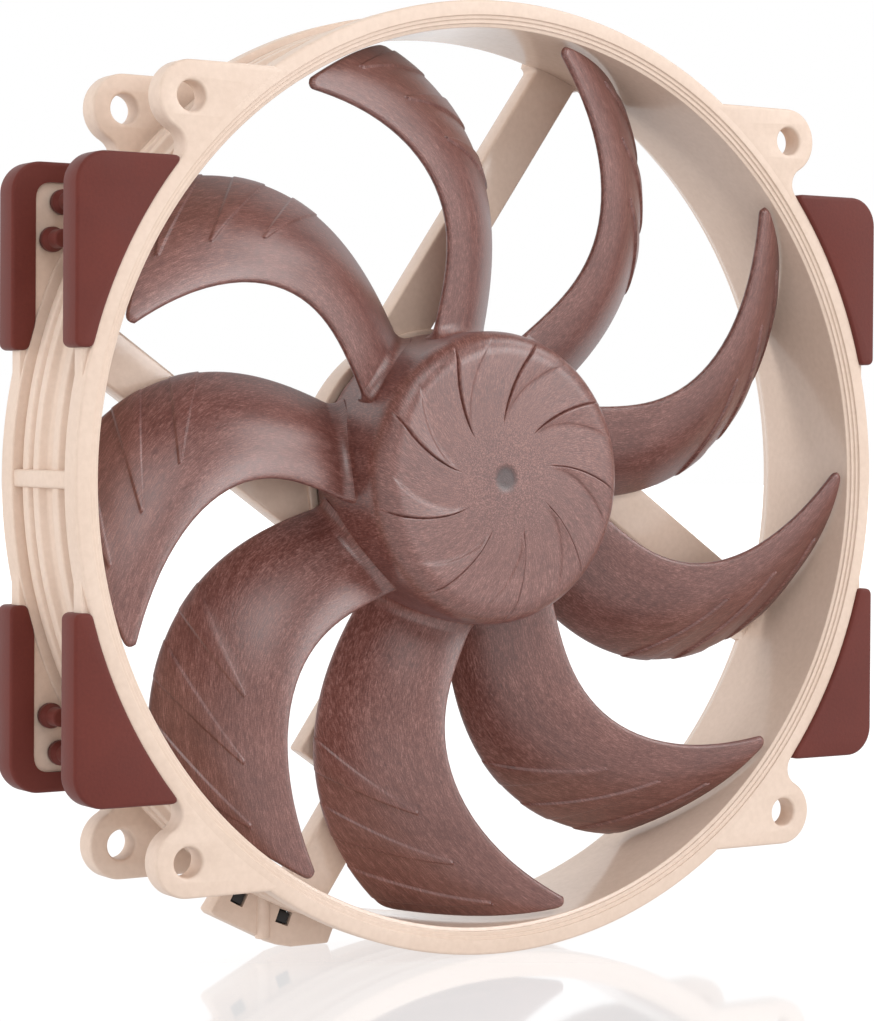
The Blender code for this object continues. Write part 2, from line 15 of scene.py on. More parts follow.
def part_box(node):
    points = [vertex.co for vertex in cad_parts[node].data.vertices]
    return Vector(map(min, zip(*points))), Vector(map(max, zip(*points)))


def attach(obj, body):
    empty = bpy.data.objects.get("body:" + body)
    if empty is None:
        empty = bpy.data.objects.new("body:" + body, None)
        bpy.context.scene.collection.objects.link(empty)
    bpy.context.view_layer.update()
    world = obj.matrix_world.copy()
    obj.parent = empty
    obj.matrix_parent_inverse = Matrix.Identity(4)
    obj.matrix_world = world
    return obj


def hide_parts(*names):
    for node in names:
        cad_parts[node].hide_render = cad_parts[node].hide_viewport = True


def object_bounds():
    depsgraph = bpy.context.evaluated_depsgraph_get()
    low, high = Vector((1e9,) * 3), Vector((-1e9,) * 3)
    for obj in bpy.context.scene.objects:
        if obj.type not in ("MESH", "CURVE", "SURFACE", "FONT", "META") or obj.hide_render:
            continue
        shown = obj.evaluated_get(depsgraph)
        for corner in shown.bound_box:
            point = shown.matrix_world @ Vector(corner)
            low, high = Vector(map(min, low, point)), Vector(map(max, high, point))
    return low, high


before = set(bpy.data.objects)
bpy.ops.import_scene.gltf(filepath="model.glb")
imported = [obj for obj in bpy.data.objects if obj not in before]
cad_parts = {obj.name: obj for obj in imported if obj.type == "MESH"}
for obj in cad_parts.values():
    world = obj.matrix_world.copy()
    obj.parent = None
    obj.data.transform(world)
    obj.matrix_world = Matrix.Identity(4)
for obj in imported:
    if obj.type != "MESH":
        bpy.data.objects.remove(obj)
CAD_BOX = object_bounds()

MM = 0.001
TO_WORLD = Matrix(((MM, 0, 0, 0), (0, 0, -MM, 0), (0, MM, 0, 0), (0, 0, 0, 1)))


def node_box(name):
    """Lowest and highest corner of a CAD node in the fan's own system, in millimetres."""
    low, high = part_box(name)
    return (low[0] / MM, low[2] / MM, -high[1] / MM), (high[0] / MM, high[2] / MM, -low[1] / MM)


# ---------------------------------------------------------------- sizes, from the frame where it has them

FRAME_HIGH = node_box("frame")[1]
HALF_DEPTH = FRAME_HIGH[2]
RING_R = FRAME_HIGH[1]
PAD_LOW, PAD_HIGH = node_box("pad_front_upper_right")
HUB_TOP = node_box("impeller")[1][2]

FLANGE = 3.6
GROOVE_R = 67.7
RIB_R = 68.9
RIB_HEIGHTS = (3.6, -2.6, -6.0)
RIB_FOOT, RIB_FACE = 1.35, 0.85  # half a rib's height at the groove's floor and at its outer face
INLET_STEPS = ((66.45, 11.05, 0.30), (67.05, 11.35, 0.30), (67.6, 11.65, 0.335))  # radius, foot and rise
CROSS_BAR = (2.7, 2.5)
CROSS_BAR_X = 68.1
BORE_R = 66.1
SKIN = 0.015  # a face that lies on another of the same colour stands this much above it
SCREW_HOLE = 52.5
SCREW_HOLE_R = 2.15
EAR_R = 5.0
EAR_NECK_R = 2.6
EAR_EDGE_X = 39.0
INTO_RING = 68.4  # radius to which ears and wings are buried in the ring
WING_X = 68.5
WING_Z = 42.5
WING_FOOT_Z = 12.0
WING_LEVEL = 10.0
WING_THICK = 2.6
PEGS = ((64.0, 33.4), (62.4, 38.7))
PEG_HOLE_R = 1.45
PAD_GAP = 0.2  # between a wing and the slot of its pad
PAD_CORNER, PAD_FOOT = 4.5, 1.0  # radii of the pads' outer corners
PAD_LIP = (66.4, 41.4)  # how far a pad's part under the wing reaches inwards

BASE_R = 22.4
BASE_TOP = -7.6
BASE_WALL = 1.5
COVER_R = node_box("hub_cover")[1][0]
STRUT_WIDTH = 7.5
STRUT_TOP = -8.2
STRUT_FOOT = (22.5, 104.0)
STRUT_HEAD = (66.5, 70.0)
STRUT_FLARE = 0.9
CABLE_STRUT = 180.0
LEAD_COVER = (3.2, 31.7)  # from and to, along the cable's strut
LEAD_COVER_WIDTH = 12.7
LEAD_CHANNEL = (2.8, 2.6)
OUTLET_TAB = (
    (-33.5, -56.0), (-36.9, -61.8), (-38.0, -63.3), (-37.4, -64.0),
    (-27.2, -69.1), (-24.5, -69.7), (-18.2, -69.7), (-16.6, -66.0),
)
OUTLET_ANGLES = (241.6, 248.4)
OUTLET_MIDDLE = sum(OUTLET_ANGLES) / 2
OUTLET_R = 70.1
OUTLET_WINDOW = (2.1, 2.3)
POCKET = (3.7, 11.5)
POCKET_TOP = -10.0
POCKET_GAP = 0.3
PILLAR_R = 1.1
PILLAR_X = -29.3
PILLAR_ENDS = (-68.0, -59.4)

HUB_R = 21.7
HUB_SKIRT = -6.5
HUB_WALL = 1.6
HUB_CEILING = 9.6
BLADES = 9
TIP_R = 65.3
PITCH = 360.0 / BLADES


# ---------------------------------------------------------------- shapes


def polar(radius, angle):
    return (radius * cos(radians(angle)), radius * sin(radians(angle)))


def arc(centre, radius, start, end, steps):
    points = []
    for i in range(steps + 1):
        x, y = polar(radius, start + (end - start) * i / steps)
        points.append((centre[0] + x, centre[1] + y))
    return points


def rounded(corners, steps=4):
    """A closed outline of (x, y, radius) corners, each corner replaced by an arc of its radius."""
    outline = []
    for i, (x, y, radius) in enumerate(corners):
        here = Vector((x, y))
        before = Vector(corners[i - 1][:2]) - here
        after = Vector(corners[(i + 1) % len(corners)][:2]) - here
        half = before.angle(after) / 2
        reach = radius / max(abs(sin(half) / cos(half)), 1e-6) if radius else 0.0
        reach = min(reach, before.length * 0.49, after.length * 0.49)
        start, end = here + before.normalized() * reach, here + after.normalized() * reach
        if reach < 1e-4 or half > radians(89):
            outline.append((x, y))
            continue
        for k in range(steps + 1):
            t = k / steps
            bend = (1 - t) ** 2 * start + 2 * t * (1 - t) * here + t**2 * end
            outline.append((bend.x, bend.y))
    return outline


def strip(rows, wrap_rows=False, wrap_columns=False):
    """Quads over a (rows, columns, 3) array of points, as (points, faces)."""
    count, width = rows.shape[:2]
    index = np.arange(count * width).reshape(count, width)
    down = np.roll(index, -1, 0) if wrap_rows else index[1:]
    here = index if wrap_rows else index[:-1]
    if wrap_columns:
        right, down_right = np.roll(here, -1, 1), np.roll(down, -1, 1)
    else:
        right, down_right = here[:, 1:], down[:, 1:]
        here, down = here[:, :-1], down[:, :-1]
    faces = np.stack([here, right, down_right, down], -1).reshape(-1, 4)
    return rows.reshape(-1, 3), faces.tolist()


def mesh_of(name, *shapes):
    """One mesh, in millimetres, from several (points, faces) pairs."""
    points, faces, start = [], [], 0
    for some, quads in shapes:
        points.append(np.asarray(some, float))
        faces += [[i + start for i in face] for face in quads]
        start += len(some)
    mesh = bpy.data.meshes.new(name)
    mesh.from_pydata(np.concatenate(points).tolist(), [], faces)
    return mesh


def cleaned(mesh, distance=1e-4):
    """Doubled points made one, and every normal turned outwards."""
    work = bmesh.new()
    work.from_mesh(mesh)
    bmesh.ops.remove_doubles(work, verts=work.verts, dist=distance)
    bmesh.ops.dissolve_degenerate(work, edges=work.edges, dist=distance)
    bmesh.ops.recalc_face_normals(work, faces=work.faces)
    work.to_mesh(mesh)
    work.free()
    return mesh


def lathe(name, outline, steps):
    """A closed outline of (radius, height) turned about the axis. Points on the axis close it."""
    angles = np.linspace(0, 2 * pi, steps, endpoint=False)
    path = np.array(outline)
    rows = np.stack(
        [
            path[:, :1] * np.cos(angles),
            path[:, :1] * np.sin(angles),
            np.repeat(path[:, 1:], steps, 1),
        ],
        -1,
    )
    return cleaned(mesh_of(name, strip(rows, wrap_rows=True, wrap_columns=True)))


def slab(name, outlines, low, high, edge):
    """A flat plate with its edges rounded. The first outline is its outside, anticlockwise, and the
    others are holes, clockwise."""
    curve = bpy.data.curves.new(name, "CURVE")
    curve.dimensions = "2D"
    curve.fill_mode = "BOTH"
    curve.extrude = (high - low) / 2 - edge
    curve.bevel_depth = edge
    curve.bevel_resolution = 2
    curve.offset = -edge
    for outline in outlines:
        spline = curve.splines.new("POLY")
        spline.points.add(len(outline) - 1)
        for point, (x, y) in zip(spline.points, outline):
            point.co = (x, y, 0.0, 1.0)
        spline.use_cyclic_u = True
    drawn = bpy.data.objects.new(name, curve)
    bpy.context.scene.collection.objects.link(drawn)
    mesh = bpy.data.meshes.new_from_object(drawn.evaluated_get(bpy.context.evaluated_depsgraph_get()))
    bpy.data.objects.remove(drawn)
    bpy.data.curves.remove(curve)
    mesh.transform(Matrix.Translation((0, 0, (low + high) / 2)))
    return cleaned(mesh, 1e-3)


def box(name, size, centre, turn=0.0, edge=0.0):
    """A block, turned about Z by an angle in degrees, with rounded edges."""
    work = bmesh.new()
    bmesh.ops.create_cube(work, size=1.0)
    bmesh.ops.scale(work, vec=size, verts=work.verts)
    if edge:
        bmesh.ops.bevel(work, geom=work.edges, offset=edge, segments=3, profile=0.5, affect="EDGES")
    matrix = Matrix.Translation(centre) @ Matrix.Rotation(radians(turn), 4, "Z")
    bmesh.ops.transform(work, matrix=matrix, verts=work.verts)
    mesh = bpy.data.meshes.new(name)
    work.to_mesh(mesh)
    work.free()
    return mesh


def carved(mesh, cutters, operation="DIFFERENCE"):
    """The mesh with each cutter mesh taken away from it, or joined to it."""
    obj = bpy.data.objects.new(mesh.name, mesh)
    bpy.context.scene.collection.objects.link(obj)
    tools = []
    for cutter in cutters:
        tool = bpy.data.objects.new("tool", cutter)
        bpy.context.scene.collection.objects.link(tool)
        tools.append(tool)
        modifier = obj.modifiers.new("Cut", "BOOLEAN")
        modifier.operation = operation
        modifier.object = tool
    graph = bpy.context.evaluated_depsgraph_get()
    result = bpy.data.meshes.new_from_object(obj.evaluated_get(graph))
    for used in (obj, *tools):
        bpy.data.objects.remove(used)
    return result


def joined(name, meshes, sharp=40.0):
    """One mesh in metres and world axes from several in millimetres, smooth but for its sharp edges."""
    work = bmesh.new()
    for mesh in meshes:
        work.from_mesh(mesh)
    result = bpy.data.meshes.new(name)
    work.to_mesh(result)
    work.free()
    result.transform(TO_WORLD)
    result.shade_smooth()
    result.set_sharp_from_angle(angle=radians(sharp))
    return result


def piece(name, mesh, materials, body, slot, *nodes):
    """A visible piece that rides on a body and stands for CAD nodes."""
    obj = bpy.data.objects.new(name, mesh)
    bpy.context.scene.collection.objects.link(obj)
    mesh.materials.clear()
    for material in materials:
        mesh.materials.append(material)
    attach(obj, body)
    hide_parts(*nodes)
    return obj


# ---------------------------------------------------------------- materials


class Finish:
    """A Principled material and short ways to add nodes to it."""

    def __init__(self, name, roughness, metallic=0.0, specular=0.5):
        self.material = bpy.data.materials.new(name)
        self.material.use_nodes = True
        self.tree = self.material.node_tree
        self.shader = self.tree.nodes["Principled BSDF"]
        self.set("Roughness", roughness)
        self.set("Metallic", metallic)
        self.set("Specular IOR Level", specular)
        self.coordinates = self.tree.nodes.new("ShaderNodeTexCoord").outputs["Object"]

    def set(self, socket, value):
        self.shader.inputs[socket].default_value = value

    def node(self, kind, inputs=(), **settings):
        made = self.tree.nodes.new(kind)
        for name, value in settings.items():
            setattr(made, name, value)
        for name, value in dict(inputs).items():
            if isinstance(value, bpy.types.NodeSocket):
                self.tree.links.new(value, made.inputs[name])
            else:
                made.inputs[name].default_value = value
        return made

    def from_axis(self):
        """Distance from the fan's axis, in metres."""
        place = self.node("ShaderNodeSeparateXYZ", {"Vector": self.coordinates})
        flat = self.node("ShaderNodeCombineXYZ", {"X": place.outputs["X"], "Z": place.outputs["Z"]})
        length = self.node("ShaderNodeVectorMath", {"Vector": flat.outputs["Vector"]}, operation="LENGTH")
        return length.outputs["Value"]

    def stretched(self, scale, coordinates=None):
        inputs = {"Vector": coordinates or self.coordinates, "Scale": scale}
        return self.node("ShaderNodeMapping", inputs).outputs["Vector"]

    def noise(self, size, detail=3.0, coordinates=None, roughness=0.55):
        """Noise whose marks are about this size, in metres or in the coordinates' own unit."""
        inputs = {"Vector": coordinates or self.coordinates, "Scale": 1 / size, "Detail": detail}
        return self.node("ShaderNodeTexNoise", {**inputs, "Roughness": roughness}).outputs["Fac"]

    def spread(self, value, low, high, from_low=0.3, from_high=0.7):
        """A value mapped to a range. Noise lies mostly between 0.3 and 0.7."""
        inputs = {"Value": value, "From Min": from_low, "From Max": from_high, "To Min": low, "To Max": high}
        return self.node("ShaderNodeMapRange", inputs).outputs["Result"]

    def colours(self, amount, *stops):
        """A colour ramp of (position, colour) stops."""
        ramp = self.node("ShaderNodeValToRGB", {"Fac": amount})
        elements = ramp.color_ramp.elements
        while len(elements) < len(stops):
            elements.new(0.5)
        for element, (position, colour) in zip(elements, stops):
            element.position = position
            element.color = (*colour, 1.0)
        return ramp.outputs["Color"]

    def mixed(self, amount, first, second, blend="MIX"):
        mix = self.node("ShaderNodeMix", data_type="RGBA", blend_type=blend)
        for socket, value in ((mix.inputs[0], amount), (mix.inputs[6], first), (mix.inputs[7], second)):
            if isinstance(value, bpy.types.NodeSocket):
                self.tree.links.new(value, socket)
            else:
                socket.default_value = value
        return mix.outputs[2]

    def paint(self, colour):
        self.tree.links.new(colour, self.shader.inputs["Base Color"])

    def dull(self, roughness):
        self.tree.links.new(roughness, self.shader.inputs["Roughness"])

    def relief(self, height, depth, strength=1.0):
        """Bump whose full height is this deep, in metres."""
        inputs = {"Height": height, "Distance": depth, "Strength": strength}
        bump = self.node("ShaderNodeBump", inputs)
        self.tree.links.new(bump.outputs["Normal"], self.shader.inputs["Normal"])


def frame_plastic():
    """Warm beige moulded plastic: faint flow clouds, a fine satin grain, glossier inside the duct."""
    finish = Finish("beige_plastic", 0.4, specular=0.6)
    cloud = finish.noise(0.018, 4.0)
    speck = finish.noise(0.0009, 2.0)
    clouds = finish.colours(cloud, (0.35, (0.705, 0.545, 0.440)), (0.65, (0.735, 0.578, 0.475)))
    specks = finish.colours(speck, (0.3, (0.94, 0.93, 0.92)), (0.7, (1.0, 1.0, 1.0)))
    finish.paint(finish.mixed(1.0, clouds, specks, "MULTIPLY"))
    finish.dull(finish.spread(finish.from_axis(), 0.16, 0.46, 0.0660, 0.0668))
    finish.relief(finish.noise(0.0006, 3.0), 0.000012)
    return finish.material


def impeller_plastic():
    """Dark red-brown glass-filled plastic with a satin gloss. It is mostly an even grain near the axis, and
    further out mostly fine pale fibres that lie along the flow."""
    finish = Finish("brown_fibre_plastic", 0.40, specular=0.85)
    finish.set("IOR", 1.6)
    flow = finish.node("ShaderNodeUVMap", uv_map="flow").outputs["UV"]
    fine = finish.noise(0.15, 2.0, finish.stretched((0.16, 1.0, 1.0), flow), 0.6)
    broad = finish.noise(0.9, 3.0, finish.stretched((0.2, 1.0, 1.0), flow), 0.6)
    grain = finish.noise(0.00017, 2.0, roughness=0.6)
    radius = finish.from_axis()
    share = finish.spread(radius, 0.85, 0.28, 0.003, 0.013)
    streaks = finish.mixed(0.30, fine, broad)
    amount = finish.node("ShaderNodeRGBToBW", {"Color": finish.mixed(share, streaks, grain)}).outputs["Val"]
    browns = ((0.36, (0.074, 0.015, 0.008)), (0.50, (0.155, 0.047, 0.034)), (0.64, (0.315, 0.145, 0.120)))
    body = finish.colours(amount, *browns)
    patches = finish.colours(finish.noise(0.011, 3.0), (0.3, (0.86, 0.80, 0.80)), (0.7, (1.08, 1.10, 1.12)))
    body = finish.mixed(1.0, body, patches, "MULTIPLY")
    gate = finish.spread(radius, 0.8, 0.0, 0.0014, 0.0022)
    finish.paint(finish.mixed(gate, body, (0.020, 0.007, 0.009, 1.0)))
    finish.dull(finish.spread(amount, 0.31, 0.46, 0.35, 0.65))
    finish.relief(amount, 0.00005, 0.9)
    finish.set("Sheen Weight", 0.04)
    finish.set("Sheen Roughness", 0.4)
    finish.set("Sheen Tint", (0.86, 0.80, 1.0, 1.0))
    return finish.material


def pad_rubber():
    """Dark red silicone rubber: matt, with a fine moulded grain and faint dusty clouds."""
    finish = Finish("dark_red_rubber", 0.60, specular=0.3)
    cloud = finish.noise(0.009, 4.0)
    body = finish.colours(cloud, (0.3, (0.112, 0.018, 0.012)), (0.7, (0.134, 0.025, 0.0175)))
    speck = finish.colours(finish.noise(0.0005, 2.0), (0.3, (0.93, 0.93, 0.93)), (0.7, (1.03, 1.03, 1.03)))
    finish.paint(finish.mixed(1.0, body, speck, "MULTIPLY"))
    finish.dull(finish.spread(cloud, 0.52, 0.66))
    finish.relief(finish.noise(0.00045, 3.0), 0.00002)
    finish.set("Sheen Weight", 0.08)
    finish.set("Sheen Roughness", 0.5)
    return finish.material


def plain(name, dark, light, roughness, size, depth=0.00001, metallic=0.0, stretch=(1.0, 1.0, 1.0)):
    """A material whose colour wanders between two, with marks of one size, which may be stretched."""
    finish = Finish(name, roughness, metallic)
    marks = finish.noise(size, 4.0, finish.stretched(stretch))
    finish.paint(finish.colours(marks, (0.3, dark), (0.7, light)))
    finish.dull(finish.spread(marks, roughness - 0.06, roughness + 0.08))
    finish.relief(marks, depth)
    return finish.material


def banded(name, dark, light, roughness, pitch, axis, metallic=1.0):
    """Fine parallel bands: turns of wire, or a stack of sheets."""
    finish = Finish(name, roughness, metallic)
    inputs = {"Vector": finish.coordinates, "Scale": pi / (10 * pitch), "Distortion": 0.3}
    waves = finish.node("ShaderNodeTexWave", inputs, bands_direction=axis).outputs["Fac"]
    finish.paint(finish.colours(waves, (0.1, dark), (0.6, light)))
    finish.relief(waves, pitch / 3)
    return finish.material


# ---------------------------------------------------------------- frame


def wound(outline, way):
    """The outline, turned anticlockwise (1) or clockwise (-1)."""
    area = sum(a[0] * b[1] - b[0] * a[1] for a, b in zip(outline, outline[1:] + outline[:1]))
    return outline if area * way > 0 else outline[::-1]


def circle(centre, radius, steps=32):
    return arc(centre, radius, 0, 360 - 360 / steps, steps - 1)


def mirrored(outline, sx, sy):
    return [(sx * x, sy * y) for x, y in outline]


QUADRANTS = ((1, 1), (-1, 1), (-1, -1), (1, -1))


def ear_outline():
    """Upper right ear: a round end, a level outer edge, and a hollow that runs smoothly into the ring."""
    reach, to_ear, to_ring = hypot(SCREW_HOLE, SCREW_HOLE), EAR_R + EAR_NECK_R, RING_R + EAR_NECK_R
    spread = acos((reach**2 + to_ring**2 - to_ear**2) / (2 * reach * to_ring))
    neck = (to_ring * cos(pi / 4 - spread), to_ring * sin(pi / 4 - spread))
    to_neck = degrees(atan2(neck[1] - SCREW_HOLE, neck[0] - SCREW_HOLE))
    ring_angle = degrees(atan2(neck[1], neck[0]))
    outline = [(EAR_EDGE_X, SCREW_HOLE + EAR_R)]
    outline += arc((SCREW_HOLE, SCREW_HOLE), EAR_R, 90, to_neck, 24)
    outline += arc(neck, EAR_NECK_R, to_neck + 180, ring_angle + 180, 10)
    leave = degrees(atan2(SCREW_HOLE + EAR_R, EAR_EDGE_X))
    return outline + arc((0, 0), INTO_RING, ring_angle - 0.4, leave + 0.6, 14)


def wing_outline():
    """Upper right wing: what a rounded rectangle leaves outside the ring."""
    low, high = asin(WING_FOOT_Z / INTO_RING), atan2(WING_Z, (INTO_RING**2 - WING_Z**2) ** 0.5)
    start = (WING_X, INTO_RING * sin(low))
    corner = rounded([(WING_X, 0, 0), (WING_X, WING_Z, 3.0), (40.0, WING_Z, 0)], 8)[1:-1]
    return [start, *corner, *arc((0, 0), INTO_RING, degrees(high), degrees(low), 16)]


def strut_frame(turn):
    """Where a strut starts, its direction and its length."""
    foot = Vector(polar(STRUT_FOOT[0], STRUT_FOOT[1] + turn))
    head = Vector(polar(STRUT_HEAD[0], STRUT_HEAD[1] + turn))
    along = head - foot
    return foot, along.normalized(), along.length


def along_strut(turn, distance, offset=0.0):
    """A point beside a strut's middle line."""
    foot, forward, _ = strut_frame(turn)
    return foot + forward * distance + Vector((-forward.y, forward.x)) * offset


def strut_outline(turn):
    """A straight bar from inside the motor base to inside the ring's wall, with a small flare at the wall."""
    foot, forward, _ = strut_frame(turn)
    across = Vector((-forward.y, forward.x))
    steps, buried = 8, BORE_R + 1.1
    sides = []
    for side, start in ((1, -9.0), (-1, 0.7)):  # both starts lie in the base's rim
        points = [foot + forward * start + across * side * STRUT_WIDTH / 2]
        for k in range(steps + 1):
            radius = BORE_R - STRUT_FLARE + k * STRUT_FLARE / steps
            offset = across * side * (STRUT_WIDTH / 2 + STRUT_FLARE * (k / steps) ** 2.4)
            base = foot + offset
            reach = -base.dot(forward) + (base.dot(forward) ** 2 - base.length_squared + radius**2) ** 0.5
            points.append(base + forward * reach)
        points.append(points[-1] * buried / BORE_R)
        sides.append([(p.x, p.y) for p in points])
    return wound(sides[0] + sides[1][::-1], 1)


def ring_outline():
    """The ring's section, as (radius, height): flanges, grooves and ribs outside, stepped inlet inside."""
    top, inner = HALF_DEPTH - SKIN, HALF_DEPTH - FLANGE
    corners = [(RING_R, top, 0.45), (RING_R, inner, 0.35), (GROOVE_R, inner, 0.5)]
    for height in RIB_HEIGHTS:
        corners += [(GROOVE_R, height + RIB_FOOT, 0.5), (RIB_R, height + RIB_FACE, 0.5)]
        corners += [(RIB_R, height - RIB_FACE, 0.5), (GROOVE_R, height - RIB_FOOT, 0.5)]
    corners += [(GROOVE_R, -inner, 0.5), (RING_R, -inner, 0.35), (RING_R, -top, 0.45)]
    corners += [(67.45, -top, 0.3), (BORE_R, -9.2, 2.0), (65.9, 10.9, 0.2)]
    for radius, height, rise in INLET_STEPS:
        corners += [(radius, height, 0.14), (radius, height + rise, 0.14)]
    return rounded(corners, 4)


def outlet_cutters(wider):
    """The pocket for the gland and its two windows. Pieces that share them are cut a little differently."""
    depth = POCKET_TOP + HALF_DEPTH + 1
    centre = (*polar(OUTLET_R, OUTLET_MIDDLE), POCKET_TOP - depth / 2 + wider)
    cutters = [box("pocket", (POCKET[0] + wider, POCKET[1] + wider, depth), centre, OUTLET_MIDDLE)]
    for angle in OUTLET_ANGLES:
        window = (OUTLET_WINDOW[0] + wider, OUTLET_WINDOW[1] + wider, FLANGE + 1)
        cutters.append(box("window", window, (*polar(OUTLET_R, angle), -9.5), angle))
    return cutters


def lead_channel(wider):
    """The cutter for the leads' channel. Pieces that share it are cut to slightly different widths."""
    _, forward, length = strut_frame(CABLE_STRUT)
    size = (length + 6.0, LEAD_CHANNEL[0] + wider, LEAD_CHANNEL[1] + wider)
    centre = (*along_strut(CABLE_STRUT, length / 2), 0.3 - HALF_DEPTH)
    return box("lead_channel", size, centre, degrees(atan2(forward.y, forward.x)))


def motor_base():
    """Base and bearing tube in one turned section, from the tube's top down its outer side and round."""
    floor, under, inner = -10.2, -HALF_DEPTH, BASE_R - BASE_WALL
    recess, recess_r = under + 0.7, COVER_R + 0.3
    tube, bore, top = 5.5, 4.5, 3.0
    corners = [(tube, top, 0.3), (tube, floor, 0.4), (inner, floor, 0.4), (inner, BASE_TOP, 0.3)]
    corners += [(BASE_R, BASE_TOP, 0.45), (BASE_R, under, 0.5), (recess_r, under, 0.15)]
    corners += [(recess_r, recess, 0.15), (bore, recess, 0.15), (bore, top, 0.2)]
    return lathe("motor_base", rounded(corners), 160)


def build_frame(material):
    """The moulding from overlapping pieces. Faces that would coincide are set a little apart."""
    parts = [carved(lathe("ring", ring_outline(), 256), [*outlet_cutters(0.04), lead_channel(0.08)])]
    top, inner = HALF_DEPTH, HALF_DEPTH - FLANGE
    for sx, sy in QUADRANTS:
        ear = wound(mirrored(ear_outline(), sx, sy), 1)
        hole = wound(circle((sx * SCREW_HOLE, sy * SCREW_HOLE), SCREW_HOLE_R, 40), -1)
        wing = wound(mirrored(wing_outline(), sx, sy), 1)
        pegs = [wound(circle((sx * x, sy * y), PEG_HOLE_R, 24), -1) for x, y in PEGS]
        for low, high in ((inner, top), (-top, -inner)):
            parts.append(slab("ear", [ear, hole], low - SKIN * (low > 0), high + SKIN * (low < 0), 0.4))
        for level in (WING_LEVEL, -WING_LEVEL):
            parts.append(slab("wing", [wing, *pegs], level - WING_THICK / 2, level + WING_THICK / 2, 0.3))
    for side in (1, -1):
        parts.append(box("cross_bar", (*CROSS_BAR, 2 * inner + 1.0), (side * CROSS_BAR_X, 0, 0), 0, 0.45))
    for turn in (0, 90, 180, 270):
        strut = slab("strut", [strut_outline(turn)], SKIN / 3 - HALF_DEPTH, STRUT_TOP, 0.5)
        parts.append(carved(strut, [lead_channel(0.0)]) if turn == CABLE_STRUT else strut)
    start, end = LEAD_COVER
    corners = ((start, 0.0), (end, 0.0), (end, -LEAD_COVER_WIDTH), (start, -LEAD_COVER_WIDTH))
    cover = [(*along_strut(CABLE_STRUT, along, offset), 0.5) for along, offset in corners]
    cover = wound(rounded(cover), 1)
    cover = slab("lead_cover", [cover], SKIN / 1.5 - HALF_DEPTH, STRUT_TOP - 0.4, 0.35)
    parts.append(carved(cover, [lead_channel(0.02)]))
    tab = wound(rounded([(x, y, 0.4) for x, y in OUTLET_TAB], 3), 1)
    tab = slab("outlet_tab", [tab], -HALF_DEPTH, SKIN - inner, 0.25)
    parts.append(carved(tab, [*outlet_cutters(0.0), lead_channel(0.06)]))
    pillar = [(PILLAR_R, PILLAR_ENDS[1], 0.2), (PILLAR_R, PILLAR_ENDS[0], 0.2), (0, PILLAR_ENDS[0], 0)]
    pillar = lathe("outlet_pillar", rounded([(0, PILLAR_ENDS[1], 0), *pillar]), 32)
    upright = Matrix.Translation((PILLAR_X, 0, -inner - 0.2)) @ Matrix.Rotation(-pi / 2, 4, "X")
    pillar.transform(upright)
    parts.append(pillar)
    parts.append(carved(motor_base(), [lead_channel(0.04)]))
    piece("frame_moulding", joined("frame_moulding", parts), [material], "housing", "frame_plastic", "frame")


# ---------------------------------------------------------------- rubber pads


def pad_outline():
    """Upper right pad: straight outside and on top, and inside it follows the ring."""
    half, pad_top, end = PAD_HIGH[0], PAD_HIGH[1], PAD_LOW[1]
    radius = RING_R - 0.15
    low = degrees(asin(end / radius))
    high = degrees(asin(pad_top / radius))
    outline = arc((half - PAD_FOOT, end + PAD_FOOT), PAD_FOOT, -90, 0, 6)
    outline += arc((half - PAD_CORNER, pad_top - PAD_CORNER), PAD_CORNER, 0, 90, 14)
    inner = arc((0, 0), radius, high, low, 24)
    tip = rounded([(*outline[-1], 0), (*inner[0], 0.8), (*inner[3], 0)], 5)[1:-1]
    foot = rounded([(*inner[-4], 0), (*inner[-1], 1.5), (half - PAD_FOOT, end, 0)], 6)[1:-1]
    return outline + tip + inner[3:-3] + foot


def peg(x, y):
    """Neck through the wing, barb under it and a tail towards the middle of the depth."""
    under = WING_LEVEL - WING_THICK / 2 - PAD_GAP
    corners = [(0, WING_LEVEL + 1.6, 0), (1.15, WING_LEVEL + 1.6, 0), (1.15, under - 0.1, 0.1)]
    corners += [(1.8, under - 0.2, 0.25), (1.8, under - 1.2, 0.35), (1.3, under - 2.0, 0.4)]
    corners += [(1.3, PAD_LOW[2], 0.35), (0, PAD_LOW[2], 0)]
    mesh = lathe("peg", rounded(corners), 32)
    mesh.transform(Matrix.Translation((x, y, 0)))
    return mesh


def rounded_rectangle(width, height, radius):
    w, h = width / 2, height / 2
    return rounded([(w, h, radius), (-w, h, radius), (-w, -h, radius), (w, -h, radius)], 6)


def build_pads(material):
    low, high = WING_LEVEL - WING_THICK / 2 - PAD_GAP, WING_LEVEL + WING_THICK / 2 + PAD_GAP
    body = slab("pad", [wound(pad_outline(), 1)], PAD_HIGH[2] - 4.5, PAD_HIGH[2], 0.5)
    wing = rounded_rectangle(2 * WING_X + 2 * PAD_GAP, 2 * WING_Z + 2 * PAD_GAP, 3.2)
    slot = slab("slot", [wing], low, high, 0.0)
    lip = slab("lip", [rounded_rectangle(2 * PAD_LIP[0], 2 * PAD_LIP[1], 2.5)], 0.0, WING_LEVEL, 0.0)
    body = carved(body, [slot, lip])
    for end, sz in (("front", 1), ("rear", -1)):
        for level, sy in (("upper", 1), ("lower", -1)):
            for side, sx in (("right", 1), ("left", -1)):
                pad = joined("rubber_pad", [body, *[peg(x, y) for x, y in PEGS]], 50.0)
                mirror = Matrix.Diagonal((sx, sz, sy, 1))
                pad.transform(mirror)
                if sx * sy * sz < 0:
                    pad.flip_normals()
                name = f"{end}_{level}_{side}"
                piece(f"rubber_pad_{name}", pad, [material], "housing", "pad_rubber", f"pad_{name}")


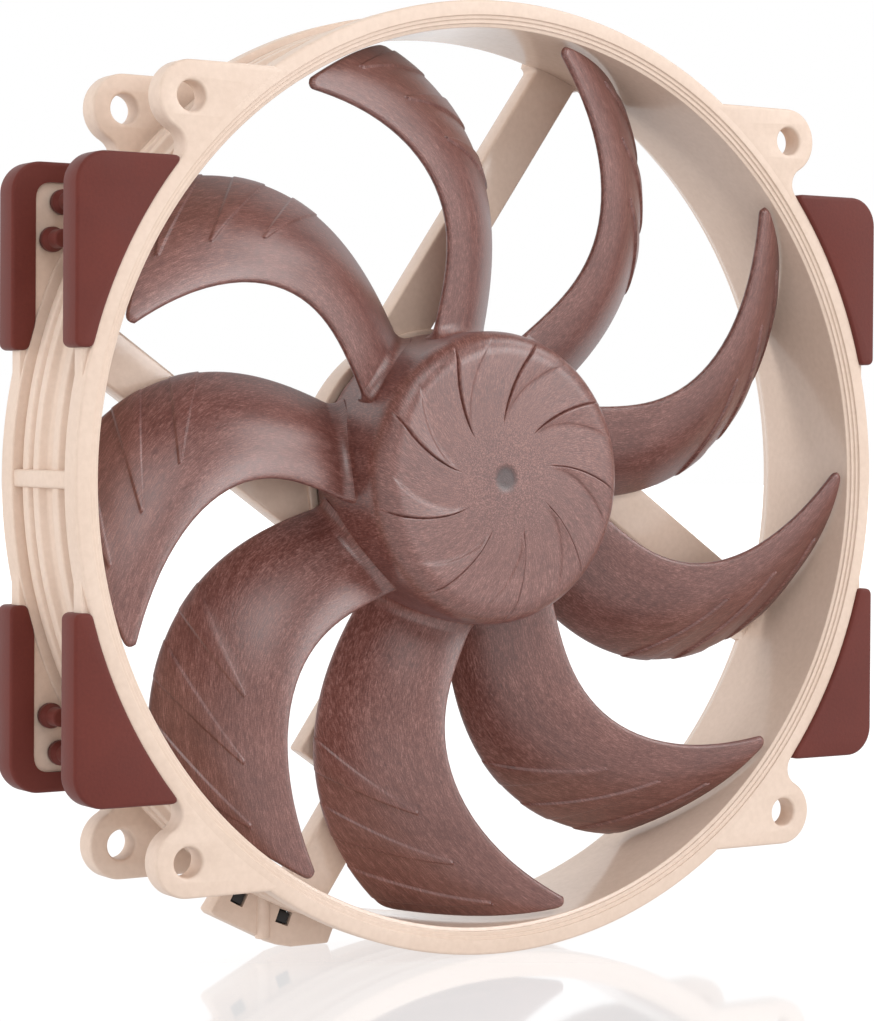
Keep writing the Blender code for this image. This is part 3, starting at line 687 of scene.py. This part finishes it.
def build_gland(material):
    """The strain relief in the outlet's pocket, with a nose in each window."""
    low, high = 0.1 - HALF_DEPTH, POCKET_TOP - POCKET_GAP
    centre = (*polar(OUTLET_R, OUTLET_MIDDLE), (low + high) / 2)
    size = (POCKET[0] - 2 * POCKET_GAP, POCKET[1] - 2 * POCKET_GAP, high - low)
    parts = [box("gland", size, centre, OUTLET_MIDDLE, 0.25)]
    for angle in OUTLET_ANGLES:
        nose = (OUTLET_WINDOW[0] - 0.4, OUTLET_WINDOW[1] - 0.4, 2.4)
        parts.append(box("nose", nose, (*polar(OUTLET_R, angle), -9.8), angle, 0.2))
    mesh = joined("rubber_gland", parts)
    piece("rubber_gland", mesh, [material], "housing", "black_rubber", "cable_gland")


def build_cover(material):
    """The round cover on the motor's back, with a rolled edge and a shallow ring pressed into it."""
    low = -HALF_DEPTH
    corners = [(0, low + 0.4, 0), (COVER_R, low + 0.4, 0.1), (COVER_R, low, 0.15), (COVER_R - 0.8, low, 0.1)]
    corners += [(COVER_R - 1.1, low + 0.12, 0.1), (COVER_R - 1.7, low + 0.12, 0.1), (COVER_R - 2.0, low, 0.1)]
    mesh = lathe("motor_cover", rounded([*corners, (0, low, 0)]), 128)
    piece("motor_cover", joined("motor_cover", [mesh]), [material], "housing", "cover", "hub_cover")


# ---------------------------------------------------------------- impeller

# At a fraction s of the way from hub to tip, a blade's leading edge is at LEAD_ANGLE(s) degrees and its
# trailing edge lies WRAP(s) degrees on. LEAD_HEIGHT(s) and TRAIL_HEIGHT(s) are the two edges' heights.
LEAD_ANGLE = (189.8, -64.3, 118.8, -42.1)
WRAP = (-37.8, 71.7, -107.5, 52.0)
LEAD_HEIGHT = (2.6, 6.3, 1.5)
TRAIL_HEIGHT = (-6.3, -1.6, 2.8)
CAMBER = 2.6
ROOT = -0.02
SPAN = TIP_R - HUB_R

# Raised wedges on a blade's inlet side: where each one's apex is (s, t), and how far towards the hub its
# two edges have run at the trailing edge.
WEDGES = ((0.655, 0.40, 0.133, 0.045), (0.806, 0.37, 0.095, 0.013), (0.946, 0.39, 0.063, -0.015))
WEDGE_HEIGHT = 0.38
WEDGE_WALL = 0.0028  # width of a wedge's side, as a fraction of the span
WEDGE_ROUND = 0.0030  # and of the rounding at its foot and at its top
WEDGE_POINT = 0.0045  # and half the width of its blunt apex
TIP_ROUND = 0.012  # how much of the span the rounding of the tip takes


def series(coefficients, s):
    return sum(value * s**power for power, value in enumerate(coefficients))


def blade_point(s, t):
    radius = HUB_R + SPAN * s
    angle = np.radians(series(LEAD_ANGLE, s) + series(WRAP, s) * t)
    height = series(LEAD_HEIGHT, s) * (1 - t) + series(TRAIL_HEIGHT, s) * t + CAMBER * 4 * t * (1 - t)
    return np.stack([radius * np.cos(angle), radius * np.sin(angle), height], -1)


def blade_normal(s, t, step=1e-4):
    """Unit normals of the sheet, towards the inlet."""
    across = blade_point(s + step, t) - blade_point(s - step, t)
    along = blade_point(s, t + step) - blade_point(s, t - step)
    normal = np.cross(across, along)
    normal /= np.linalg.norm(normal, axis=-1, keepdims=True)
    return normal * np.sign(normal[..., 2:])


def round_edge(distance):
    """Height of a quarter circle: 0 at its edge and 1 from distance 1 on."""
    return np.sqrt(np.clip(1 - (1 - np.clip(distance, 0, 1)) ** 2, 0, 1))


def eased(values):
    values = np.clip(values, 0, 1)
    return values * values * (3 - 2 * values)


def spanwise(t, tip):
    """The rows' s at one station t, and a wedge's height on each. The number of rows is always the same, and
    four of them lie along each side of every wedge, so its edges stay crisp."""
    stops, counts, heights = [ROOT, 0.0, 0.042], [3, 8], [0.0, 0.0, 0.0]
    for i, (apex_s, apex_t, inward, outward) in enumerate(WEDGES):
        grow = max(0.0, (t - apex_t) / (1 - apex_t))
        near = apex_s - inward * grow - WEDGE_POINT
        far = apex_s - outward * grow + WEDGE_POINT
        raised = WEDGE_HEIGHT * (0.85 + 0.15 * grow) * (t > apex_t) * (1 - 0.5 * eased((t - 0.92) / 0.08))
        for line, way in ((near, 1), (far, -1)):
            sides = [(line - way * (WEDGE_WALL + WEDGE_ROUND), 0.0), (line - way * WEDGE_WALL, 0.06)]
            sides += [(line, 0.90), (line + way * WEDGE_ROUND, 1.0)]
            for stop, share in sides[::way]:
                stops.append(stop)
                heights.append(raised * share)
        counts += [4 if i else 17, 1, 1, 1, 3, 1, 1, 1]
    stops += [tip - TIP_ROUND]
    heights += [0.0]
    counts += [2]
    rows, relief = [], []
    for i, count in enumerate(counts):
        share = np.arange(count) / count
        rows += list(stops[i] + (stops[i + 1] - stops[i]) * share)
        relief += list(heights[i] + (heights[i + 1] - heights[i]) * share)
    last = tip - TIP_ROUND * np.cos(np.linspace(0, pi / 2, 5))
    return np.array(rows + list(last)), np.array(relief + [0.0] * 5)


def blade_shape():
    """One blade as (points, faces, flow coordinates): a closed loop of points round the section on each
    spanwise row. It thickens into a fillet at the hub."""
    rim, fillet = 0.03, 2.0  # the rounding of the two edges as a share of t, and the fillet's radius
    near = rim * (1 - np.cos(np.linspace(0, pi / 2, 5)))
    apexes = [apex_t + shift for _, apex_t, _, _ in WEDGES for shift in (-0.002, 0.002)]
    middle = [t for t in np.linspace(rim, 1 - rim, 38)[1:-1] if min(abs(t - a) for a in apexes) > 0.004]
    stations = np.concatenate([near, sorted(middle + apexes), 1 - near[::-1]])
    columns, reliefs = [], []
    for t in stations:
        # The tip is cut back at its two corners.
        tip = 1 - 0.035 * max(0.0, 1 - t / 0.12) ** 2 - 0.012 * max(0.0, 1 - (1 - t) / 0.06) ** 2
        rows, relief = spanwise(t, tip)
        columns.append(rows)
        reliefs.append(relief)
    s, relief = np.array(columns).T, np.array(reliefs).T
    t = np.broadcast_to(stations, s.shape)
    sheet, normal = blade_point(s, t), blade_normal(s, t)
    half = 0.62 - 0.12 * t  # half the blade's thickness
    profile = round_edge(t / rim) * round_edge((1 - t) / rim) * round_edge((s[-1:] - s) / TIP_ROUND)
    from_hub = np.clip((s * SPAN) / fillet, 0, 1)
    flared = half + fillet * (1 - np.sqrt(1 - (1 - from_hub) ** 2))
    lift = (profile * flared + relief)[..., None]
    drop = (profile * flared)[..., None]
    front, back = sheet + normal * lift, sheet - normal * drop
    loops = np.concatenate([front, back[:, ::-1]], 1)
    flow = np.stack([s * SPAN, t * series(WRAP, s) * (HUB_R + SPAN * s) * pi / 180], -1)
    flow = np.concatenate([flow, flow[:, ::-1]], 1)
    points, faces = strip(loops, wrap_columns=True)
    width = loops.shape[1]
    faces.append(list(range(width)))
    return points, faces, flow.reshape(-1, 2)


CAP_R = 18.2
CAP_ROWS = (*np.linspace(0, 2.4, 9), *np.linspace(2.9, 18.0, 28))  # radii of the points on the hub's cap
CAP_FALL = 0.3
SHOULDER = (3.5, 3.7)  # its width and its height
SHOULDER_STEPS = 10
SWIRL_START = 8.5  # radius where the hub's swirl lines begin
SWIRL = -1.57  # degrees per millimetre of radius along a groove
RAMP = -3.05  # and along the foot of the ramp that ends at it
SWIRL_ANGLE = 12.5
GROOVE_DEPTH = 0.22
GROOVE_WIDTH = 1.5  # in degrees
RAMP_HEIGHT = 0.34
DIMPLE_DEPTH = 0.16
FLOW_R = 14.0  # radius at which the hub's fibres have their true size


def hub_meridian():
    """(radius, height) from the middle of the cap, over the shoulder, down the side and up inside."""
    path = [(r, HUB_TOP - CAP_FALL * (r / CAP_R) ** 2) for r in CAP_ROWS]
    wide, high = SHOULDER
    for k in range(SHOULDER_STEPS + 1):
        angle = pi / 2 * (1 - k / SHOULDER_STEPS)
        path.append((CAP_R + wide * cos(angle), HUB_TOP - CAP_FALL - high + high * sin(angle)))
    path += [(HUB_R, z) for z in np.linspace(HUB_TOP - 5.0, HUB_SKIRT + 0.4, 8)]
    inner = HUB_R - HUB_WALL
    path += [(HUB_R - 0.12, HUB_SKIRT + 0.12), (HUB_R - 0.4, HUB_SKIRT), (inner + 0.3, HUB_SKIRT)]
    path += [(inner, HUB_SKIRT + 0.3), (inner, 2.0)]
    path += [(inner, HUB_CEILING), (10.0, HUB_CEILING), (0.0, HUB_CEILING)]
    return np.array(path)


def hub_shape():
    """The hub as (points, faces, flow coordinates), with nine swirl grooves and ramps and a dimple. Each
    sector's columns run from one groove to the next, and twist with the grooves towards the shoulder."""
    path = hub_meridian()
    radius, height = path[:, :1], path[:, 1:]
    wedge = np.clip((SWIRL - RAMP) * (radius - SWIRL_START), 3.2, None)  # degrees from a ramp's foot to its end
    crease = np.minimum(np.degrees(0.3 / np.maximum(radius, 5.0)), 1.2)  # and over which the foot rises
    near = np.array([0.0, 0.35, 0.75, 1.4, 2.4])  # columns beside a groove's middle line
    wedge_foot = PITCH - wedge
    plain = near[-1] + (wedge_foot - crease - near[-1]) * np.linspace(0, 1, 12)[1:]
    rise = wedge_foot - crease * np.array([0.6, 0.2, -0.2])
    last = PITCH - near[:0:-1] * np.minimum(1, wedge / 6.0)
    slope_end = last[:, :1]
    raised = wedge_foot + 0.6 * crease + (slope_end - wedge_foot - 0.6 * crease) * np.linspace(0, 1, 8)[:-1]
    sector = np.concatenate([np.repeat(near[None], len(path), 0), plain, rise, raised, last], 1)
    phase = np.concatenate([sector + PITCH * i for i in range(BLADES)], 1)
    from_line = np.minimum(phase % PITCH, PITCH - phase % PITCH)
    outside = np.arange(len(path))[:, None] <= len(CAP_ROWS) + SHOULDER_STEPS  # the cap and its shoulder
    twist = SWIRL * (np.where(outside, radius, HUB_R) - SWIRL_START)
    angle = np.radians(SWIRL_ANGLE + twist + phase)
    gate = eased((radius - SWIRL_START + 0.6) / 1.6) * eased((HUB_R - 0.25 - radius) / 1.6) * outside
    groove = -GROOVE_DEPTH * (1 - eased(from_line / (GROOVE_WIDTH / 2))) * gate
    behind = (-phase) % PITCH
    foot = eased((wedge + crease - behind) / (1.6 * crease))
    ramp = RAMP_HEIGHT * foot * (0.45 + 0.55 * np.clip(1 - behind / wedge, 0, 1)) * (behind > 0)
    ramp = ramp * eased((radius - SWIRL_START) / 3.0) * eased((HUB_R - 0.1 - radius) / 4.0) * outside
    dimple = -DIMPLE_DEPTH * (1 - eased((radius - 1.3) / 0.8)) * outside
    slope = np.gradient(path, axis=0)
    slope /= np.maximum(np.linalg.norm(slope, axis=1, keepdims=True), 1e-9)
    out_r, out_z = -slope[:, 1:], slope[:, :1]
    lift = groove + ramp + dimple
    r, z = radius + out_r * lift, height + out_z * lift
    rows = np.stack([r * np.cos(angle), r * np.sin(angle), np.broadcast_to(z, angle.shape)], -1)
    along = np.broadcast_to(radius + HUB_TOP - height, angle.shape)
    flow = np.stack([along, np.radians(phase) * FLOW_R], -1)
    points, faces = strip(rows, wrap_columns=True)
    return points, faces, flow.reshape(-1, 2)


def build_impeller(material):
    """Hub and blades in one mesh. Its "flow" coordinates, in millimetres, place the fibres in the plastic."""
    blade, blade_faces, blade_flow = blade_shape()
    shapes, flows = [], []
    for i in range(BLADES):
        turn = np.array(Matrix.Rotation(radians(PITCH * i), 3, "Z"))
        shapes.append((blade @ turn.T, blade_faces))
        flows.append(blade_flow + (60.0 * i, 17.0 * i))  # so that no two blades have the same marks
    hub, hub_faces, hub_flow = hub_shape()
    shapes.append((hub, hub_faces))
    flows.append(hub_flow + (0.0, 400.0))
    mesh = mesh_of("impeller_moulding", *shapes)
    flow = np.concatenate(flows)
    layer = mesh.uv_layers.new(name="flow")
    corners = np.empty(len(mesh.loops), int)
    mesh.loops.foreach_get("vertex_index", corners)
    layer.data.foreach_set("uv", flow[corners].astype(np.float32).ravel())
    mesh = joined("impeller_moulding", [cleaned(mesh)], 75.0)
    piece("impeller_moulding", mesh, [material], "rotor", "impeller_plastic", "impeller")


# ---------------------------------------------------------------- inner parts kept from the frame


def finish_nodes():
    """The motor and bearing parts keep their shape and get finer materials and softened edges."""
    steel = plain("turned_steel", (0.42, 0.43, 0.44), (0.62, 0.63, 0.64), 0.26, 0.0016, 4e-6, 1.0, (1, 6, 1))
    ferrite = plain("ferrite", (0.035, 0.035, 0.04), (0.07, 0.07, 0.075), 0.55, 0.0007, 2e-5)
    brass = plain("brass", (0.66, 0.46, 0.18), (0.84, 0.63, 0.30), 0.28, 0.0012, 4e-6, 1.0, (1, 5, 1))
    bronze = plain("sintered_bronze", (0.30, 0.18, 0.09), (0.52, 0.34, 0.18), 0.5, 0.0003, 2e-5, 1.0)
    nylon = plain("white_nylon", (0.76, 0.74, 0.68), (0.86, 0.84, 0.79), 0.45, 0.002, 1e-5)
    board = plain("solder_mask", (0.012, 0.09, 0.032), (0.02, 0.15, 0.06), 0.3, 0.0015, 1e-5)
    chip = plain("chip_epoxy", (0.015, 0.015, 0.017), (0.03, 0.03, 0.033), 0.5, 0.0003, 1e-5)
    ceramic = plain("ceramic", (0.38, 0.27, 0.16), (0.5, 0.38, 0.24), 0.4, 0.0005, 1e-5)
    sheets = banded("lamination_stack", (0.12, 0.12, 0.13), (0.4, 0.41, 0.43), 0.4, 0.0005, "Y")
    copper = banded("enamelled_wire", (0.34, 0.10, 0.03), (0.78, 0.34, 0.14), 0.3, 0.0004, "Y")
    looks = {
        steel: ("rotor_cup", "shaft", "thrust_plate"),
        ferrite: ("rotor_magnet", "stabiliser_magnet"),
        brass: ("shaft_boss", "bearing_shell", "bearing_end_cap"),
        bronze: ("bearing_bush",),
        nylon: ("retaining_clip", "upper_insulator", "lower_insulator"),
        board: ("circuit_board",),
        chip: ("driver_chip", "hall_sensor"),
        ceramic: ("capacitor_1", "capacitor_2"),
        sheets: ("stator_core",),
        copper: tuple(f"coil_{i}" for i in range(1, 7)),
        BLACK_RUBBER: ("oil_seal",),
    }
    for material, names in looks.items():
        for name in names:
            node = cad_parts[name]
            for slot in node.material_slots:
                slot.material = material
            bevel = node.modifiers.new("Softened", "BEVEL")
            bevel.width, bevel.segments, bevel.limit_method = 0.00008, 2, "ANGLE"


# ---------------------------------------------------------------- stage


def build_floor():
    """A plain pale floor, slightly glossy."""
    size = 3.0
    mesh = bpy.data.meshes.new("floor")
    level = CAD_BOX[0][2]
    corners = [(-size, -size, level), (size, -size, level), (size, size, level), (-size, size, level)]
    mesh.from_pydata(corners, [], [(0, 1, 2, 3)])
    floor = bpy.data.objects.new("floor", mesh)
    bpy.context.scene.collection.objects.link(floor)
    finish = Finish("pale_floor", 0.06, specular=0.2)
    finish.set("Base Color", (0.16, 0.16, 0.16, 1.0))
    finish.set("Emission Color", (1.0, 0.985, 0.985, 1.0))
    finish.set("Emission Strength", 0.625)
    mesh.materials.append(finish.material)


def area_light(name, location, size, power, in_reflections=True):
    """A square softbox that faces the fan."""
    data = bpy.data.lights.new(name, "AREA")
    data.size, data.energy = size, power
    light = bpy.data.objects.new(name, data)
    light.location = location
    light.rotation_euler = (-Vector(location)).to_track_quat("-Z", "Y").to_euler()
    light.visible_glossy = in_reflections
    bpy.context.scene.collection.objects.link(light)


def ramp_node(tree, value, from_min, from_max, to_min, to_max):
    node = tree.nodes.new("ShaderNodeMapRange")
    for name, number in zip(("From Min", "From Max", "To Min", "To Max"), (from_min, from_max, to_min, to_max)):
        node.inputs[name].default_value = number
    tree.links.new(value, node.inputs["Value"])
    return node.outputs["Result"]


def build_light():
    """A white room and five softboxes. On the viewer's side the room is dimmer high up and low down, and it is
    slightly dimmer on the left."""
    scene = bpy.context.scene
    scene.world = bpy.data.worlds.new("white_room")
    scene.world.use_nodes = True
    tree = scene.world.node_tree
    direction = tree.nodes.new("ShaderNodeSeparateXYZ")
    tree.links.new(tree.nodes.new("ShaderNodeTexCoord").outputs["Generated"], direction.inputs["Vector"])
    upward = tree.nodes.new("ShaderNodeMath")
    upward.operation = "ABSOLUTE"
    tree.links.new(direction.outputs["Z"], upward.inputs[0])
    lightest, level = tree.nodes.new("ShaderNodeMath"), tree.nodes.new("ShaderNodeMath")
    lightest.operation, level.operation = "MAXIMUM", "MULTIPLY"
    # The room's light by direction: first by height, then towards the back, then from left to right.
    tree.links.new(ramp_node(tree, upward.outputs["Value"], 0.22, 0.45, 1.0, 0.2), lightest.inputs[0])
    tree.links.new(ramp_node(tree, direction.outputs["Y"], -0.1, 0.5, 0.2, 1.0), lightest.inputs[1])
    tree.links.new(ramp_node(tree, direction.outputs["X"], -0.6, 0.2, 0.80, 1.0), level.inputs[0])
    tree.links.new(lightest.outputs["Value"], level.inputs[1])
    background = tree.nodes["Background"]
    background.inputs["Color"].default_value = (1.0, 1.0, 1.0, 1.0)
    tree.links.new(level.outputs["Value"], background.inputs["Strength"])
    area_light("key", (0.57, -0.74, 0.36), 0.45, 3.4)
    area_light("fill", (-0.27, -0.62, 0.74), 0.50, 2.5)
    area_light("front", (-0.46, -0.88, 0.08), 0.50, 2.3, in_reflections=False)
    area_light("upper_right", (0.66, -0.22, 0.72), 0.5, 3.0)
    area_light("side", (-0.92, 0.28, 0.15), 0.6, 4.6, in_reflections=False)
    scene.view_settings.view_transform = "Standard"
    scene.view_settings.look = "None"


def build_camera():
    """Level with the fan and 33 degrees to its left, turned very slightly about its own axis."""
    azimuth, elevation, roll, distance = radians(-33.23), radians(0.90), radians(0.35), 0.4379
    back = Vector((sin(azimuth) * cos(elevation), -cos(azimuth) * cos(elevation), sin(elevation)))
    camera = bpy.data.objects.new("camera", bpy.data.cameras.new("camera"))
    camera.data.lens = 102.9
    camera.data.sensor_width = 36.0
    camera.data.shift_x, camera.data.shift_y = -0.0259, -0.0327
    camera.data.clip_start = 0.01
    camera.location = back * distance
    camera.rotation_mode = "QUATERNION"
    upright = (-back).to_track_quat("-Z", "Y")
    camera.rotation_quaternion = upright @ Matrix.Rotation(roll, 3, "Z").to_quaternion()
    bpy.context.scene.collection.objects.link(camera)
    bpy.context.scene.camera = camera


# ---------------------------------------------------------------- assembly

BLACK_RUBBER = plain("black_rubber", (0.010, 0.010, 0.011), (0.020, 0.020, 0.021), 0.55, 0.0006, 1e-5)

build_frame(frame_plastic())
build_pads(pad_rubber())
build_gland(BLACK_RUBBER)
build_cover(plain("pale_label", (0.66, 0.53, 0.43), (0.72, 0.59, 0.49), 0.38, 0.0012, 6e-6))
build_impeller(impeller_plastic())
finish_nodes()
build_floor()
build_light()
build_camera()
